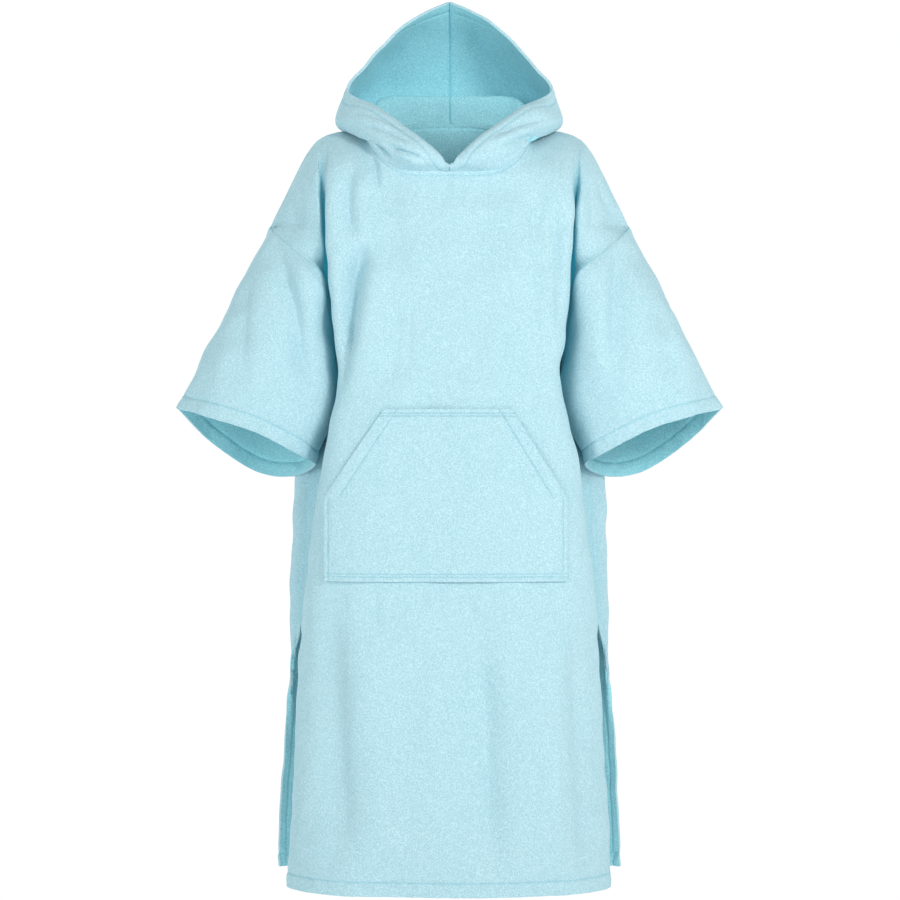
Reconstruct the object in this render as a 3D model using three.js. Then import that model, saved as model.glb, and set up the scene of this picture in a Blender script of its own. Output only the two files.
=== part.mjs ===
// A hooded bath poncho of terry towelling, worn on nothing: front, back, two wide sleeves, a hood in
// two halves and a kangaroo pocket. Millimetres, +Z up. The wearer faces -Y, and "left" is -X.
// The origin is between the shoulders, where the wearer carries it.
import * as THREE from 'three';

// Driving sizes
const cloth = 3;
const hemCloth = 4.4;
const seamGap = 0.3;
const hemDrop = -1100;
const hemBand = 23;
const cuffBand = 22;
const sleeveLength = 250;
const yoke = -150; // height down to which the neckline and shoulder line shape a panel
const yokeFall = { out: 2, y: 4 }; // how fast their shape fades on the way down
const underarm = -310;
const slitTop = -725;
const armholeTop = -135;

// Columns of the panels, counted from the middle: neck corner, front edge of the side fold, bottom of
// that fold, its outer lip, and the armhole or side seam
const station = { neck: 6, edge: 9, fold: 12, lip: 15, rim: 19 };
const neckTurn = THREE.MathUtils.degToRad(44.4);
// How fast the cloth runs over the fold's lip, as a share of the way from fold to rim
const lipRun = { before: 0.25, after: 0.325 };

// Neckline from the middle to the neck corner, then the shoulder line to the armhole
const frontNeck = [
  { at: 0, out: 0, y: -105, z: -61 },
  { at: 1, out: 36, y: -105, z: -61 },
  { at: 2, out: 70, y: -101, z: -58 },
  { at: 3, out: 99, y: -88, z: -42 },
  { at: 4, out: 114, y: -62, z: -20 },
  { at: 5, out: 120, y: -22, z: -1 },
  { at: 6, out: 122, y: 20, z: 12 },
];
const backNeck = [
  { at: 0, out: 0, y: 95, z: 32 },
  { at: 1, out: 36, y: 94, z: 31 },
  { at: 2, out: 68, y: 90, z: 27 },
  { at: 3, out: 94, y: 79, z: 23 },
  { at: 4, out: 110, y: 62, z: 19 },
  { at: 5, out: 119, y: 42, z: 15 },
  { at: 6, out: 122, y: 20, z: 12 },
];
const shoulder = [
  { at: 6, out: 122, y: 20, z: 12 },
  { at: 7, out: 143, y: 16, z: 10 },
  { at: 8, out: 163, y: 12, z: 8 },
  { at: 9, out: 180, y: 8, z: 3 },
  { at: 12, out: 190, y: 7, z: -2 },
  { at: 15, out: 200, y: 6, z: -10 },
  { at: 16, out: 213, y: 6, z: -28 },
  { at: 17, out: 228, y: 5, z: -57 },
  { at: 18, out: 246, y: 5, z: -94 },
  { at: 19, out: 267, y: 5, z: armholeTop },
];

// Level sections of the front: depth of its middle, how square it is, and the places of the fold
// that runs from the shoulder past the underarm and down the side
const frontSections = [
  { z: 20, middle: -96, square: 3.5, edgeOut: 182, edgeY: -66, foldOut: 190, foldY: -64, lipOut: 199, lipY: -62 },
  { z: -60, middle: -105, square: 3.5, edgeOut: 180, edgeY: -84, foldOut: 188, foldY: -74, lipOut: 196, lipY: -81 },
  { z: -135, middle: -120, square: 3.5, edgeOut: 178, edgeY: -92, foldOut: 182, foldY: -52, lipOut: 190, lipY: -86 },
  { z: -172, middle: -126, square: 3.5, edgeOut: 176, edgeY: -95, foldOut: 179, foldY: -48, lipOut: 187, lipY: -80 },
  { z: -210, middle: -131, square: 3.5, edgeOut: 174, edgeY: -97, foldOut: 174, foldY: -44, lipOut: 184, lipY: -56 },
  { z: -260, middle: -136, square: 3.4, edgeOut: 170, edgeY: -98, foldOut: 162, foldY: -36, lipOut: 169, lipY: -20 },
  { z: -310, middle: -141, square: 3.3, edgeOut: 165, edgeY: -98, foldOut: 152, foldY: -45, lipOut: 149, lipY: -12 },
  { z: -360, middle: -145, square: 3.2, edgeOut: 159, edgeY: -95, foldOut: 141, foldY: -35, lipOut: 147, lipY: 3 },
  { z: -434, middle: -150, square: 3.0, edgeOut: 173, edgeY: -88, foldOut: 150, foldY: -26, lipOut: 160, lipY: 17 },
  { z: -490, middle: -154, square: 2.9, edgeOut: 186, edgeY: -83, foldOut: 169, foldY: -16, lipOut: 184, lipY: 24 },
  { z: -620, middle: -162, square: 2.7, edgeOut: 204, edgeY: -76, foldOut: 193, foldY: -10, lipOut: 203, lipY: 24 },
  { z: -725, middle: -169, square: 2.6, edgeOut: 214, edgeY: -71, foldOut: 207, foldY: -8, lipOut: 213, lipY: 22 },
  { z: -900, middle: -179, square: 2.5, edgeOut: 225, edgeY: -65, foldOut: 219, foldY: -18, lipOut: 216, lipY: 6 },
  { z: -1100, middle: -190, square: 2.5, edgeOut: 236, edgeY: -60, foldOut: 231, foldY: -20, lipOut: 224, lipY: 4 },
];
const backSections = [
  { z: 20, middle: 96, square: 3, edgeOut: 182, edgeY: 66, foldOut: 190, foldY: 64, lipOut: 199, lipY: 62 },
  { z: -60, middle: 112, square: 3, edgeOut: 182, edgeY: 84, foldOut: 189, foldY: 76, lipOut: 197, lipY: 84 },
  { z: -135, middle: 124, square: 3, edgeOut: 182, edgeY: 96, foldOut: 187, foldY: 64, lipOut: 195, lipY: 92 },
  { z: -172, middle: 128, square: 3, edgeOut: 182, edgeY: 100, foldOut: 185, foldY: 56, lipOut: 194, lipY: 86 },
  { z: -210, middle: 130, square: 3, edgeOut: 181, edgeY: 102, foldOut: 181, foldY: 50, lipOut: 191, lipY: 58 },
  { z: -260, middle: 130, square: 3, edgeOut: 180, edgeY: 102, foldOut: 172, foldY: 42, lipOut: 178, lipY: 30 },
  { z: -310, middle: 128, square: 3, edgeOut: 180, edgeY: 100, foldOut: 170, foldY: 66, lipOut: 154, lipY: 42 },
  { z: -360, middle: 125, square: 3, edgeOut: 188, edgeY: 97, foldOut: 183, foldY: 68, lipOut: 170, lipY: 45 },
  { z: -434, middle: 121, square: 3, edgeOut: 212, edgeY: 94, foldOut: 213, foldY: 74, lipOut: 200, lipY: 56 },
  { z: -490, middle: 120, square: 3, edgeOut: 229, edgeY: 92, foldOut: 232, foldY: 74, lipOut: 224, lipY: 58 },
  { z: -620, middle: 122, square: 2.6, edgeOut: 234, edgeY: 90, foldOut: 237, foldY: 74, lipOut: 230, lipY: 60 },
  { z: -725, middle: 126, square: 2.4, edgeOut: 236, edgeY: 94, foldOut: 240, foldY: 80, lipOut: 234, lipY: 62 },
  { z: -900, middle: 136, square: 2.2, edgeOut: 226, edgeY: 115, foldOut: 236, foldY: 108, lipOut: 244, lipY: 102 },
  { z: -1100, middle: 149, square: 2, edgeOut: 228, edgeY: 124, foldOut: 239, foldY: 117, lipOut: 250, lipY: 109 },
];
// How far the section turns round at its edge: fully where the side is closed, not at all at the hem
const backTurn = [
  { z: -620, turn: 1 },
  { z: -725, turn: 0.8 },
  { z: -900, turn: 0.2 },
  { z: -1100, turn: 0 },
];

// The outer edge of the panels, level by level: armhole, side seam and slit
const frontArmhole = [
  { z: -135, out: 267, y: 5 },
  { z: -145, out: 259, y: -26 },
  { z: -172, out: 229, y: -68 },
  { z: -210, out: 187, y: -92 },
  { z: -260, out: 179, y: -50 },
  { z: -310, out: 168, y: 15 },
];
const backArmhole = [
  { z: -135, out: 267, y: 5 },
  { z: -145, out: 260, y: 36 },
  { z: -172, out: 231, y: 79 },
  { z: -210, out: 196, y: 100 },
  { z: -260, out: 187, y: 62 },
  { z: -310, out: 168, y: 15 },
];
const sideSeam = [
  { z: -310, out: 168, y: 15 },
  { z: -360, out: 163, y: 30 },
  { z: -434, out: 182, y: 46 },
  { z: -490, out: 208, y: 50 },
  { z: -620, out: 216, y: 50 },
  { z: -725, out: 222, y: 48 },
];
const frontSlit = [
  { z: -725, out: 222, y: 48 },
  { z: -800, out: 217, y: 31 },
  { z: -900, out: 213, y: 25 },
  { z: -1100, out: 215, y: 20 },
];
const backSlit = [
  { z: -725, out: 222, y: 48 },
  { z: -800, out: 240, y: 84 },
  { z: -900, out: 251, y: 98 },
  { z: -1100, out: 260, y: 101 },
];

// Broad upright waves of the panels: place across as a share of the half width, the height where each
// is deepest, its reach up and down, its half width as a share, and its depth, outward if positive
const frontWaves = [
  { across: -0.62, height: -130, reach: 150, half: 0.2, depth: -6 },
  { across: -0.42, height: -120, reach: 90, half: 0.12, depth: -3 },
  { across: 0.75, height: -190, reach: 140, half: 0.14, depth: -5 },
  { across: -0.25, height: -900, reach: 330, half: 0.2, depth: -5 },
  { across: 0.2, height: -960, reach: 300, half: 0.24, depth: 5 },
  { across: 0.55, height: -860, reach: 330, half: 0.16, depth: -5 },
  { across: -0.68, height: -930, reach: 280, half: 0.16, depth: 4 },
];
const backWaves = [
  { across: -0.55, height: -420, reach: 420, half: 0.2, depth: -11 },
  { across: -0.22, height: -700, reach: 520, half: 0.16, depth: 9 },
  { across: 0.1, height: -860, reach: 450, half: 0.15, depth: -10 },
  { across: 0.38, height: -560, reach: 480, half: 0.18, depth: 10 },
  { across: 0.68, height: -480, reach: 420, half: 0.16, depth: -10 },
  { across: -0.8, height: -900, reach: 380, half: 0.14, depth: 8 },
];

// Cuff edge, once round from the top of the arm past the front, the underarm and the back
const cuff = [
  { at: 0, out: 404, y: 0, z: -404 },
  { at: 0.125, out: 358, y: -58, z: -414 },
  { at: 0.25, out: 292, y: -84, z: -435 },
  { at: 0.375, out: 233, y: -62, z: -465 },
  { at: 0.5, out: 204, y: -2, z: -488 },
  { at: 0.625, out: 239, y: 62, z: -505 },
  { at: 0.75, out: 296, y: 92, z: -497 },
  { at: 0.875, out: 359, y: 62, z: -454 },
  { at: 1, out: 404, y: 0, z: -404 },
];
const sleevePuff = 0.1;
const underarmBow = 14;
// Half the depth of a sleeve, and how flat it is in front halfway down
const sleeveDepth = 101;
const sleeveFlatness = 0.4;

// Hood sections from the V at the front round to the back seam, each from the neck seam up to the
// edge of the face opening. "low" is the roll on the shoulder and, at the back, the slumped fold.
const hoodSections = [
  { at: 0, lowOut: 0, lowY: -108, lowZ: -59, midOut: 0, midY: -112, midZ: -57, highOut: 0, highY: -115, highZ: -55,
    topOut: 0, topY: -117, topZ: -53, edgeOut: 0, edgeY: -119, edgeZ: -51 },
  { at: 2, lowOut: 68, lowY: -111, lowZ: -50, midOut: 62, midY: -122, midZ: -38, highOut: 54, highY: -122, highZ: -25,
    topOut: 46, topY: -113, topZ: -15, edgeOut: 40, edgeY: -105, edgeZ: -16 },
  { at: 4, lowOut: 121, lowY: -65, lowZ: -9, midOut: 134, midY: -48, midZ: -3, highOut: 136, highY: -58, highZ: 15,
    topOut: 118, topY: -58, topZ: 33, edgeOut: 103, edgeY: -50, edgeZ: 35 },
  { at: 6, lowOut: 133, lowY: 17, lowZ: 21, midOut: 158, midY: 11, midZ: 13, highOut: 168, highY: 8, highZ: 26,
    topOut: 158, topY: 8, topZ: 52, edgeOut: 151, edgeY: 10, edgeZ: 70 },
  { at: 8, lowOut: 123, lowY: 68, lowZ: 34, midOut: 146, midY: 88, midZ: 32, highOut: 152, highY: 90, highZ: 60,
    topOut: 140, topY: 62, topZ: 92, edgeOut: 126, edgeY: 36, edgeZ: 112 },
  { at: 9, lowOut: 109, lowY: 81, lowZ: 61, midOut: 121, midY: 108, midZ: 42, highOut: 134, highY: 118, highZ: 72,
    topOut: 121, topY: 85, topZ: 113, edgeOut: 101, edgeY: 50, edgeZ: 143 },
  { at: 10, lowOut: 90, lowY: 94, lowZ: 71, midOut: 96, midY: 124, midZ: 50, highOut: 112, highY: 140, highZ: 86,
    topOut: 98, topY: 106, topZ: 138, edgeOut: 74, edgeY: 62, edgeZ: 178 },
  { at: 11, lowOut: 46, lowY: 96, lowZ: 72, midOut: 50, midY: 128, midZ: 51, highOut: 58, highY: 158, highZ: 91,
    topOut: 51, topY: 130, topZ: 153, edgeOut: 38, edgeY: 76, edgeZ: 199 },
  { at: 12, lowOut: 0, lowY: 96, lowZ: 72, midOut: 0, midY: 129, midZ: 51, highOut: 0, highY: 166, highZ: 92,
    topOut: 0, topY: 142, topZ: 160, edgeOut: 0, edgeY: 86, edgeZ: 215 },
];
const hoodRows = 14;
const hoodHemRows = 2;

// Pocket, in widths from the middle and heights
const pocket = { topLeft: -94, topRight: 89, left: -178, right: 167, top: -407, slant: -536, bottom: -654 };
const pocketLift = cloth + 0.8;
const pocketMesh = { columns: 15, rows: 12 };
const probe = 2; // half the span over which the front's slope is measured

// Mesh rows: to the underarm, then down to the hem
const armholeLevels = [0, -14, -32, -55, -82, -112, -145, -180, -215, -250, -280, underarm];
const sideLevels = [-345, -385, -430, -475, -525, -580, -640, slitTop + 40, slitTop, -790, -850, -920, -990, -1045,
  hemDrop + hemBand + 3, hemDrop + hemBand, hemDrop];
const sleeveRows = 8;

// Reads one column of a table at a place between its rows, along a smooth curve
function read(table, column, place, key = 'z') {
  const falling = table[0][key] > table[table.length - 1][key];
  const rows = falling ? table.slice().reverse() : table;
  const last = rows.length - 1;
  const x = THREE.MathUtils.clamp(place, rows[0][key], rows[last][key]);
  let i = 0;
  while (i < last - 1 && x > rows[i + 1][key]) {
    i += 1;
  }
  const slope = (k) => {
    const a = rows[Math.max(k - 1, 0)];
    const b = rows[Math.min(k + 1, last)];
    return (b[column] - a[column]) / (b[key] - a[key]);
  };
  const step = rows[i + 1][key] - rows[i][key];
  const t = (x - rows[i][key]) / step;
  return hermite(rows[i][column], rows[i + 1][column], slope(i) * step, slope(i + 1) * step, t);
}

function hermite(a, b, leave, arrive, t) {
  const t2 = t * t;
  const t3 = t2 * t;
  return a * (2 * t3 - 3 * t2 + 1) + leave * (t3 - 2 * t2 + t) + b * (3 * t2 - 2 * t3) + arrive * (t3 - t2);
}

function place(table, at) {
  const [out, y, z] = ['out', 'y', 'z'].map((column) => read(table, column, at, 'at'));
  return new THREE.Vector3(out, y, z);
}

const frontPanel = { neck: frontNeck, sections: frontSections, armhole: frontArmhole, slit: frontSlit,
  waves: frontWaves, facing: -1 };
const backPanel = { neck: backNeck, sections: backSections, armhole: backArmhole, slit: backSlit,
  waves: backWaves, facing: 1 };

function rimAt(panel, z) {
  const table = z > underarm ? panel.armhole : z > slitTop ? sideSeam : panel.slit;
  return { out: read(table, 'out', z), y: read(table, 'y', z) };
}

function waveDepth(panel, across, z) {
  let sum = 0;
  for (const wave of panel.waves) {
    const dx = (across - wave.across) / wave.half;
    const dz = (z - wave.height) / wave.reach;
    sum += wave.depth * Math.exp(-dx * dx - dz * dz);
  }
  return sum * panel.facing;
}

// Point of a level section at a column, side -1 on the left and 1 on the right
function sectionPoint(panel, side, column, z) {
  const get = (name) => read(panel.sections, name, z);
  const edge = { out: get('edgeOut'), y: get('edgeY') };
  const turn = panel === backPanel ? read(backTurn, 'turn', z) : 1;
  if (column <= station.edge) {
    const angle = column < station.neck
      ? neckTurn * column / station.neck
      : neckTurn + (Math.PI / 2 - neckTurn) * (column - station.neck) / (station.edge - station.neck);
    const share = Math.sin(angle);
    const square = get('square');
    const left = Math.max(1 - share ** square, 0);
    const depth = turn * left ** (1 / square) + (1 - turn) * left;
    const fade = 1 - share ** 6;
    const y = edge.y + (get('middle') - edge.y) * depth + waveDepth(panel, side * share, z) * fade;
    return { out: edge.out * share, y };
  }
  const fold = { out: get('foldOut'), y: get('foldY') };
  const lip = { out: get('lipOut'), y: get('lipY') };
  const rim = rimAt(panel, z);
  const leaveEdge = { out: (1 - turn) * (fold.out - edge.out), y: fold.y - edge.y };
  const atFold = { out: (lip.out - edge.out) / 2, y: (lip.y - edge.y) / 2 };
  const pastLip = { out: rim.out - fold.out, y: rim.y - fold.y };
  const atRim = { out: rim.out - lip.out, y: rim.y - lip.y };
  const along = (name) => {
    if (column <= station.fold) {
      const t = (column - station.edge) / (station.fold - station.edge);
      return hermite(edge[name], fold[name], leaveEdge[name], atFold[name], t);
    }
    if (column <= station.lip) {
      const t = (column - station.fold) / (station.lip - station.fold);
      return hermite(fold[name], lip[name], atFold[name], pastLip[name] * lipRun.before, t);
    }
    const t = (column - station.lip) / (station.rim - station.lip);
    return hermite(lip[name], rim[name], pastLip[name] * lipRun.after, atRim[name], t);
  };
  return { out: along('out'), y: along('y') };
}

// Point of a panel: its level section, drawn up to the neckline and shoulder line at the top
function panelPoint(panel, side, column, level) {
  const top = place(column <= station.neck ? panel.neck : shoulder, column);
  const down = Math.min(level / underarm, 1);
  const z = top.z * (1 - down) + level;
  const here = sectionPoint(panel, side, column, z);
  const start = sectionPoint(panel, side, column, top.z);
  const near = Math.max(1 - level / yoke, 0);
  const out = here.out + (top.x - start.out) * near ** yokeFall.out;
  const y = here.y + (top.y - start.y) * near ** yokeFall.y;
  return new THREE.Vector3(side * out, y, z);
}

// Point of a sleeve: "round" is 0 at the top of the arm, 0.5 under it, and "down" 0 at the armhole
function sleevePoint(side, round, armholePoint, down) {
  const end = place(cuff, round);
  end.x *= side;
  const point = armholePoint.clone().lerp(end, down);
  const swell = Math.sin(Math.PI * down);
  const under = Math.sin(Math.PI * round) ** 6;
  const depth = Math.min(Math.abs(point.y) / sleeveDepth, 1);
  const flatness = point.y < 0 ? sleeveFlatness : 0;
  point.y = Math.sign(point.y) * sleeveDepth * depth ** (1 - flatness * swell) * (1 + sleevePuff * swell);
  point.x -= side * underarmBow * under * swell ** 2;
  return point;
}

function hoodPoint(side, column, up) {
  const neck = column <= station.neck ? place(frontNeck, column) : place(backNeck, 2 * station.neck - column);
  const names = ['low', 'mid', 'high', 'top', 'edge'];
  const rows = names.map((name, k) => ({
    at: (k + 1) / names.length,
    out: read(hoodSections, `${name}Out`, column, 'at'),
    y: read(hoodSections, `${name}Y`, column, 'at'),
    z: read(hoodSections, `${name}Z`, column, 'at'),
  }));
  rows.unshift({ at: 0, out: neck.x, y: neck.y, z: neck.z });
  const point = place(rows, up);
  point.x *= side;
  return point;
}

// A piece of cloth before it has a thickness: a grid of middle points, with its outside to one side
function sheet(name, columns, rows, pointAt, { closed = false, flip = false, thick = () => cloth } = {}) {
  const points = [];
  for (let j = 0; j < rows; j += 1) {
    for (let i = 0; i < columns; i += 1) {
      points.push(pointAt(i, j));
    }
  }
  return { name, columns, rows, points, closed, flip, thick };
}

function indexOf(piece, i, j) {
  const column = piece.closed
    ? (i + piece.columns) % piece.columns
    : THREE.MathUtils.clamp(i, 0, piece.columns - 1);
  return THREE.MathUtils.clamp(j, 0, piece.rows - 1) * piece.columns + column;
}

function addNormals(piece) {
  piece.normals = [];
  for (let j = 0; j < piece.rows; j += 1) {
    for (let i = 0; i < piece.columns; i += 1) {
      const at = (di, dj) => piece.points[indexOf(piece, i + di, j + dj)];
      const across = at(1, 0).clone().sub(at(-1, 0));
      const down = at(0, 1).clone().sub(at(0, -1));
      const normal = down.cross(across).normalize();
      piece.normals.push(piece.flip ? normal.negate() : normal);
    }
  }
}

function isEdge(piece, i, j) {
  return j === 0 || j === piece.rows - 1 || (!piece.closed && (i === 0 || i === piece.columns - 1));
}

// Where pieces meet, they share one direction for their thickness and part by the seam gap
function meetAtSeams(pieces) {
  const edges = [];
  for (const piece of pieces) {
    for (let j = 0; j < piece.rows; j += 1) {
      for (let i = 0; i < piece.columns; i += 1) {
        if (isEdge(piece, i, j)) {
          edges.push({ piece, i, j, k: indexOf(piece, i, j) });
        }
      }
    }
  }
  const moves = [];
  for (const edge of edges) {
    const point = edge.piece.points[edge.k];
    const partners = edges.filter((other) => other.piece !== edge.piece
      && other.piece.points[other.k].distanceTo(point) < seamGap);
    if (partners.length === 0) {
      continue;
    }
    const normal = edge.piece.normals[edge.k].clone();
    partners.forEach((other) => normal.add(other.piece.normals[other.k]));
    const { piece, i, j } = edge;
    const inI = piece.closed ? 0 : i === 0 ? 1 : i === piece.columns - 1 ? -1 : 0;
    const inJ = j === 0 ? 1 : j === piece.rows - 1 ? -1 : 0;
    const inward = piece.points[indexOf(piece, i + inI, j + inJ)].clone().sub(point).normalize();
    const reach = seamGap / 2 * (inI !== 0 && inJ !== 0 ? Math.SQRT2 : 1);
    moves.push({ edge, normal: normal.normalize(), move: inward.multiplyScalar(reach) });
  }
  for (const { edge, normal, move } of moves) {
    edge.piece.normals[edge.k] = normal;
    edge.piece.points[edge.k] = edge.piece.points[edge.k].clone().add(move);
  }
}

// Gives a sheet its wall and its closed rims
function wall(piece) {
  const { columns, rows, closed } = piece;
  const count = columns * rows;
  const positions = [];
  for (const face of [0.5, -0.5]) {
    for (let j = 0; j < rows; j += 1) {
      for (let i = 0; i < columns; i += 1) {
        const k = j * columns + i;
        const offset = piece.normals[k].clone().multiplyScalar(face * piece.thick(i, j));
        positions.push(...piece.points[k].clone().add(offset).toArray());
      }
    }
  }
  const index = [];
  const quad = (a, b, c, d) => {
    if (piece.flip) {
      index.push(a, c, b, a, d, c);
    } else {
      index.push(a, b, c, a, c, d);
    }
  };
  // Both sides of a seam split their rims the same way, from the higher end's outside
  const rank = (k) => piece.points[k].z + 0.37 * Math.abs(piece.points[k].x) + 0.11 * piece.points[k].y;
  const rim = (a, b) => {
    if (rank(a) > rank(b)) {
      quad(a, b, count + b, count + a);
    } else {
      quad(b, count + b, count + a, a);
    }
  };
  const spans = closed ? columns : columns - 1;
  for (let j = 0; j < rows - 1; j += 1) {
    for (let i = 0; i < spans; i += 1) {
      const a = j * columns + i;
      const b = j * columns + (i + 1) % columns;
      const c = b + columns;
      const d = a + columns;
      quad(a, d, c, b);
      quad(count + a, count + b, count + c, count + d);
    }
  }
  for (let i = 0; i < spans; i += 1) {
    const next = (i + 1) % columns;
    const low = (rows - 1) * columns;
    rim(i, next);
    rim(low + next, low + i);
  }
  if (!closed) {
    for (let j = 0; j < rows - 1; j += 1) {
      const a = j * columns;
      const b = a + columns;
      const c = a + columns - 1;
      const d = c + columns;
      rim(b, a);
      rim(c, d);
    }
  }
  const geometry = new THREE.BufferGeometry();
  geometry.setAttribute('position', new THREE.Float32BufferAttribute(positions, 3));
  geometry.setIndex(index);
  geometry.computeVertexNormals();
  return geometry;
}

const levels = [...armholeLevels, ...sideLevels];
const armholeCount = armholeLevels.length;

function makePanel(name, panel) {
  const columns = 2 * station.rim + 1;
  const pointAt = (i, j) => {
    const column = i - station.rim;
    return panelPoint(panel, column < 0 ? -1 : 1, Math.abs(column), levels[j]);
  };
  const thick = (i, j) => (levels[j] <= hemDrop + hemBand ? hemCloth : cloth);
  return sheet(name, columns, levels.length, pointAt, { thick, flip: panel === backPanel });
}

function makeSleeve(name, side) {
  const ring = [];
  const onArmhole = (panel, j) => panelPoint(panel, side, station.rim, armholeLevels[j]);
  for (let j = 0; j < armholeCount; j += 1) {
    ring.push(onArmhole(frontPanel, j));
  }
  for (let j = armholeCount - 2; j > 0; j -= 1) {
    ring.push(onArmhole(backPanel, j));
  }
  const half = armholeCount - 1;
  const bandStart = 1 - cuffBand / sleeveLength;
  const pointAt = (i, j) => {
    const down = j < sleeveRows ? bandStart * j / sleeveRows : j === sleeveRows ? bandStart : 1;
    return sleevePoint(side, i / (2 * half), ring[i], down);
  };
  const thick = (i, j) => (j >= sleeveRows ? hemCloth : cloth);
  return sheet(name, ring.length, sleeveRows + 2, pointAt, { closed: true, thick, flip: side > 0 });
}

function makeHood(name, side) {
  const columns = 2 * station.neck + 1;
  const thick = (i, j) => (j >= hoodRows - hoodHemRows ? hemCloth : cloth);
  const pointAt = (i, j) => hoodPoint(side, i, j / (hoodRows - 1));
  return sheet(name, columns, hoodRows, pointAt, { thick, flip: side > 0 });
}

// The pocket lies on the front: its points are the front's, moved out
function frontSkin(x, z) {
  const share = Math.abs(x) / read(frontSections, 'edgeOut', z);
  const angle = Math.asin(Math.min(share, 1));
  const column = angle < neckTurn
    ? station.neck * angle / neckTurn
    : station.neck + (station.edge - station.neck) * (angle - neckTurn) / (Math.PI / 2 - neckTurn);
  return new THREE.Vector3(x, sectionPoint(frontPanel, Math.sign(x) || 1, column, z).y, z);
}

function makePocket(name) {
  const { columns, rows } = pocketMesh;
  const pointAt = (i, j) => {
    const down = j / (rows - 1);
    const z = THREE.MathUtils.lerp(pocket.top, pocket.bottom, down);
    const slant = Math.min((z - pocket.top) / (pocket.slant - pocket.top), 1);
    const left = THREE.MathUtils.lerp(pocket.topLeft, pocket.left, slant);
    const right = THREE.MathUtils.lerp(pocket.topRight, pocket.right, slant);
    const edge = read(frontSections, 'edgeOut', z);
    const share = i / (columns - 1);
    const x = edge * Math.sin(THREE.MathUtils.lerp(Math.asin(left / edge), Math.asin(right / edge), share));
    const across = frontSkin(x + probe, z).sub(frontSkin(x - probe, z));
    const normal = frontSkin(x, z - probe).sub(frontSkin(x, z + probe)).cross(across).normalize();
    return frontSkin(x, z).addScaledVector(normal, pocketLift);
  };
  return sheet(name, columns, rows, pointAt, {});
}

const pieces = [
  makePanel('front', frontPanel),
  makePanel('back', backPanel),
  makeSleeve('sleeve_left', -1),
  makeSleeve('sleeve_right', 1),
  makeHood('hood_left', -1),
  makeHood('hood_right', 1),
  makePocket('pocket'),
];
pieces.forEach(addNormals);
meetAtSeams(pieces);

const group = new THREE.Group();
for (const piece of pieces) {
  const towelling = new THREE.MeshStandardMaterial({ color: 0xbfe7f0, roughness: 0.95, metalness: 0 });
  const mesh = new THREE.Mesh(wall(piece), towelling);
  mesh.name = piece.name;
  group.add(mesh);
}

export default group;
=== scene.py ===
"""A hooded bath poncho of light blue terry towelling, in its worn shape.

Cloth sizes are in millimetres, as they were measured, and are turned into metres when a piece is made.
The wearer faces -Y, "left" is -X, and the origin lies between the shoulders.
"""

import math

import bmesh
import bpy
import numpy as np
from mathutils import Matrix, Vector


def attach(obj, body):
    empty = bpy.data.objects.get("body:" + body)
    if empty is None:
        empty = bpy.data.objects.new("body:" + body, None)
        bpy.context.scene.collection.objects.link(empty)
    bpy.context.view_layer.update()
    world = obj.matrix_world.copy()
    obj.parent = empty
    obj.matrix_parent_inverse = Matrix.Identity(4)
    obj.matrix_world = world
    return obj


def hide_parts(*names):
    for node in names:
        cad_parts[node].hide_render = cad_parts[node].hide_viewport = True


MM = 0.001

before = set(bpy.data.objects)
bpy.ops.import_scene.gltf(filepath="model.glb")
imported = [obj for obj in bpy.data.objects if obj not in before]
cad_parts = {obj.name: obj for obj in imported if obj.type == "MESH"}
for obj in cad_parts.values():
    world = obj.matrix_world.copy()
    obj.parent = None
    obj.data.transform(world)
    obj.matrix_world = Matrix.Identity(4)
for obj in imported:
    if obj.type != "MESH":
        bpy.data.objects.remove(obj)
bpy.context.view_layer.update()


# Tables: a row for each section or fold, under named columns

def table(names, *lines):
    """Rows of numbers as one array for each named column."""
    return {name: np.array([line[k] for line in lines], float) for k, name in enumerate(names.split())}


HEM = -1100
HEM_BAND = 20
SLIT_TOP = -725
UNDERARM = -310
ARMHOLE_TOP = -135
YOKE = -150

# Thickness of the cloth, of a hem, in the groove of a seam and in the groove that stitches press
CLOTH = 3.0
DOUBLED = 4.4
SEAMED = 2.6
PRESSED = 1

# Columns of the panels, counted out from the middle, and the lines of the fine grid in each
NECK, EDGE, FOLD, LIP, RIM = 6, 9, 12, 15, 19
FINE = 6
NECK_TURN = math.radians(44.4)

FRONT_NECK = table(
    "at out y z",
    (0, 0, -105, -61), (1, 36, -105, -61), (2, 70, -101, -58), (3, 99, -88, -42), (4, 114, -62, -20),
    (5, 120, -22, -1), (6, 122, 20, 12),
)
BACK_NECK = table(
    "at out y z",
    (0, 0, 95, 32), (1, 36, 94, 31), (2, 68, 90, 27), (3, 94, 79, 23), (4, 110, 62, 19), (5, 119, 42, 15),
    (6, 122, 20, 12),
)
SHOULDER = table(
    "at out y z",
    (6, 122, 20, 12), (7, 143, 16, 10), (8, 163, 12, 8), (9, 180, 8, 3), (12, 190, 7, -2), (15, 200, 6, -10),
    (16, 213, 6, -28), (17, 228, 5, -57), (18, 246, 5, -94), (19, 267, 5, ARMHOLE_TOP),
)

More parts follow.
